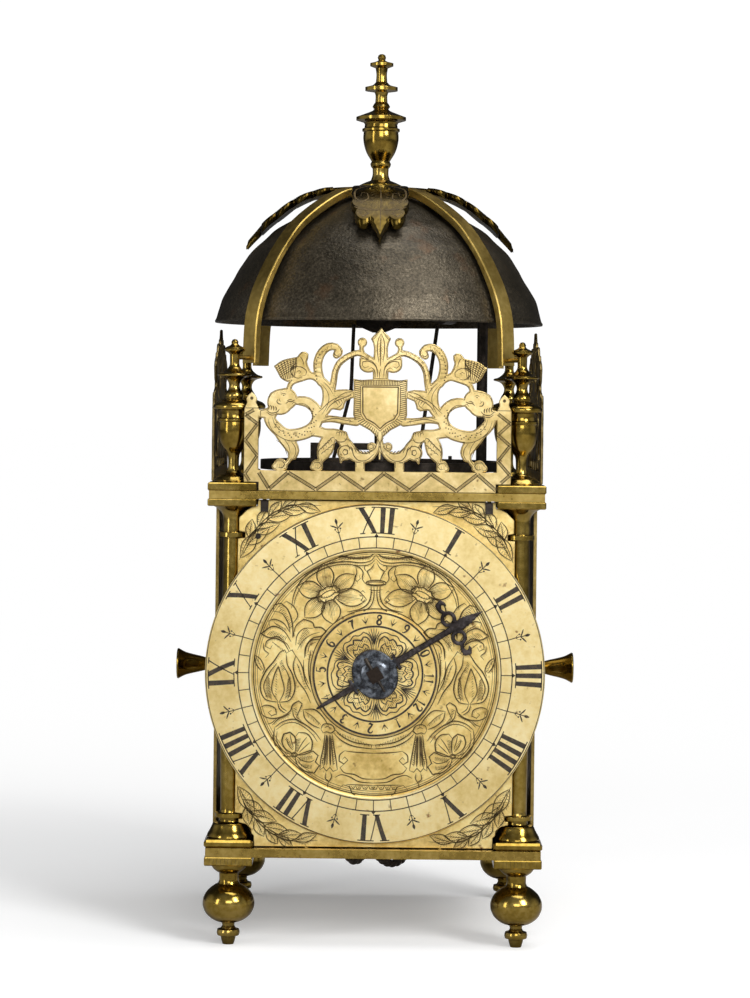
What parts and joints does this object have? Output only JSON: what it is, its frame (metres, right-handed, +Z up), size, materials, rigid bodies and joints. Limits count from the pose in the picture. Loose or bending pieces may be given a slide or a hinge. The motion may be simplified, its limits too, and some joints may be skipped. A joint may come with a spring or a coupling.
{
  "type": "lantern_clock",
  "caption": "Brass lantern clock with balance wheel, striking work and alarm: turned pillars, urn finials, dark bell under a strap, pierced dolphin frets, engraved dial, one hand",
  "frame": {"origin": "on the floor under the centre of the posted frame, at the height of the foot tips", "axes": "+Z up, -Y towards the viewer of the dial, +X to the right as the dial is read"},
  "size_m": [0.1824, 0.1566, 0.4103],
  "materials": {
    "frame_brass": "aged cast brass, hand polished, brown in the corners",
    "fret_brass": "pierced and engraved brass, darker in the cuts",
    "bell_bronze": "bell metal with a brown, pitted patina",
    "dial_brass": "engraved brass, worn and finely scratched",
    "ring_brass": "rubbed brass with black wax in the numerals",
    "black_iron": "forged iron, dark and slightly rusty",
    "rope": "dark three-strand rope",
    "wheel_brass": "cut and filed brass",
    "steel": "turned steel",
    "blued_steel": "blued steel, nearly black",
    "door_brass": "rolled brass sheet, tarnished"
  },
  "bodies": {
    "frame": {"bottom_plate": "frame_brass", "top_plate": "frame_brass", "pillars": "frame_brass", "ball_feet": "frame_brass", "corner_finials": "frame_brass", "bell_strap": "frame_brass", "bell_crests": "frame_brass", "bell": "bell_bronze", "bell_nut": "black_iron", "centre_finial": "frame_brass", "front_fret": "fret_brass", "side_frets": "fret_brass", "fret_screws": "black_iron", "dial_plate": "dial_brass", "chapter_ring": "ring_brass", "dial_latches": "black_iron", "back_plate": "black_iron", "front_bar": "black_iron", "centre_bar": "black_iron", "rear_bar": "black_iron", "bar_wedges": "black_iron", "balance_cock": "black_iron", "verge_potence": "black_iron", "crown_potence": "black_iron", "hammer_spring": "black_iron", "check_wires": "black_iron", "going_rope": "rope", "strike_rope": "rope"},
    "going_great": {"great_wheel": "wheel_brass", "great_arbor": "steel"},
    "going_pulley_body": {"going_pulley": "wheel_brass"},
    "second": {"second_wheel": "wheel_brass", "second_arbor": "steel"},
    "crown": {"crown_wheel": "wheel_brass", "crown_arbor": "steel"},
    "balance": {"balance_wheel": "black_iron", "verge": "steel"},
    "hour": {"hour_wheel": "wheel_brass", "clock_hand": "blued_steel", "hand_collet": "blued_steel", "hand_pin": "blued_steel"},
    "alarm_dial": {"alarm_disc": "dial_brass"},
    "strike_great": {"strike_great_wheel": "wheel_brass", "strike_arbor": "steel"},
    "strike_pulley_body": {"strike_pulley": "wheel_brass"},
    "hoop": {"hoop_wheel": "wheel_brass", "hoop_arbor": "steel"},
    "fly_body": {"fly": "wheel_brass", "fly_arbor": "steel"},
    "count": {"count_wheel": "wheel_brass"},
    "hammer": {"strike_hammer": "black_iron"},
    "detent": {"locking_detent": "black_iron"},
    "lifting": {"lifting_piece": "black_iron"},
    "alarm_stop": {"alarm_detent": "black_iron"},
    "alarm_crown": {"alarm_wheel": "wheel_brass"},
    "alarm_verge": {"alarm_hammer": "black_iron"},
    "left_side_door": {"left_door": "door_brass", "left_knob": "frame_brass"},
    "right_side_door": {"right_door": "door_brass", "right_knob": "frame_brass"}
  },
  "joints": [
    {"name": "great_spin", "type": "hinge", "parent": "frame", "child": "going_great", "pos_m": [0, -0.02, 0.0815], "axis": [0, 1, 0], "continuous": true},
    {"name": "going_pulley_spin", "type": "hinge", "parent": "going_great", "child": "going_pulley_body", "pos_m": [0, -0.028, 0.0815], "axis": [0, 1, 0], "continuous": true},
    {"name": "second_spin", "type": "hinge", "parent": "frame", "child": "second", "pos_m": [0, -0.037, 0.1178], "axis": [0, 1, 0], "continuous": true},
    {"name": "crown_spin", "type": "hinge", "parent": "frame", "child": "crown", "pos_m": [0.002, -0.02, 0.14473], "axis": [0, 1, 0], "continuous": true},
    {"name": "balance_swing", "type": "hinge", "parent": "frame", "child": "balance", "pos_m": [0.002, -0.008, 0.215], "axis": [0, 0, 1], "range_deg": [-50, 50]},
    {"name": "hour_spin", "type": "hinge", "parent": "frame", "child": "hour", "pos_m": [0, -0.055, 0.1232], "axis": [0, 1, 0], "continuous": true},
    {"name": "alarm_set", "type": "hinge", "parent": "hour", "child": "alarm_dial", "pos_m": [0, -0.072, 0.1232], "axis": [0, 1, 0], "continuous": true},
    {"name": "strike_spin", "type": "hinge", "parent": "frame", "child": "strike_great", "pos_m": [0, 0.023, 0.088], "axis": [0, 1, 0], "continuous": true},
    {"name": "strike_pulley_spin", "type": "hinge", "parent": "strike_great", "child": "strike_pulley_body", "pos_m": [0, 0.03, 0.088], "axis": [0, 1, 0], "continuous": true},
    {"name": "hoop_spin", "type": "hinge", "parent": "frame", "child": "hoop", "pos_m": [0, 0.037, 0.12423], "axis": [0, 1, 0], "continuous": true},
    {"name": "fly_spin", "type": "hinge", "parent": "frame", "child": "fly_body", "pos_m": [0, 0.022, 0.15122], "axis": [0, 1, 0], "continuous": true},
    {"name": "count_spin", "type": "hinge", "parent": "frame", "child": "count", "pos_m": [0.0145, 0.048, 0.12388], "axis": [0, 1, 0], "continuous": true},
    {"name": "hammer_swing", "type": "hinge", "parent": "frame", "child": "hammer", "pos_m": [0.0506, 0.038, 0.2], "axis": [0, 0, 1], "range_deg": [-4, 14], "stiffness_Nm_per_rad": 0.05},
    {"name": "lifting_lift", "type": "hinge", "parent": "frame", "child": "lifting", "pos_m": [-0.034, 0, 0.15], "axis": [0, 1, 0], "range_deg": [-12, 0]},
    {"name": "detent_lift", "type": "hinge", "parent": "frame", "child": "detent", "pos_m": [-0.03, 0.02, 0.165], "axis": [0, 1, 0], "range_deg": [-12, 0]},
    {"name": "alarm_release", "type": "hinge", "parent": "frame", "child": "alarm_stop", "pos_m": [0.034, 0, 0.165], "axis": [0, 1, 0], "range_deg": [0, 10]},
    {"name": "alarm_wheel_spin", "type": "hinge", "parent": "frame", "child": "alarm_crown", "pos_m": [0, 0.055, 0.172], "axis": [0, 1, 0], "continuous": true},
    {"name": "alarm_swing", "type": "hinge", "parent": "frame", "child": "alarm_verge", "pos_m": [0, 0.063, 0.2], "axis": [0, 0, 1], "range_deg": [-20, 20]},
    {"name": "left_door_hinge", "type": "hinge", "parent": "frame", "child": "left_side_door", "pos_m": [-0.07245, 0.0495, 0.123], "axis": [0, 0, 1], "range_deg": [-100, 0]},
    {"name": "right_door_hinge", "type": "hinge", "parent": "frame", "child": "right_side_door", "pos_m": [0.07245, 0.0495, 0.123], "axis": [0, 0, 1], "range_deg": [0, 100]}
  ],
  "couplings": [
    {"joint": "second_spin", "follows": "great_spin", "ratio": -10},
    {"joint": "crown_spin", "follows": "great_spin", "ratio": 90},
    {"joint": "hour_spin", "follows": "great_spin", "ratio": -0.083333},
    {"joint": "hoop_spin", "follows": "strike_spin", "ratio": -8},
    {"joint": "fly_spin", "follows": "strike_spin", "ratio": 72},
    {"joint": "count_spin", "follows": "strike_spin", "ratio": -0.10256},
    {"joint": "detent_lift", "follows": "lifting_lift", "ratio": 1}
  ]
}
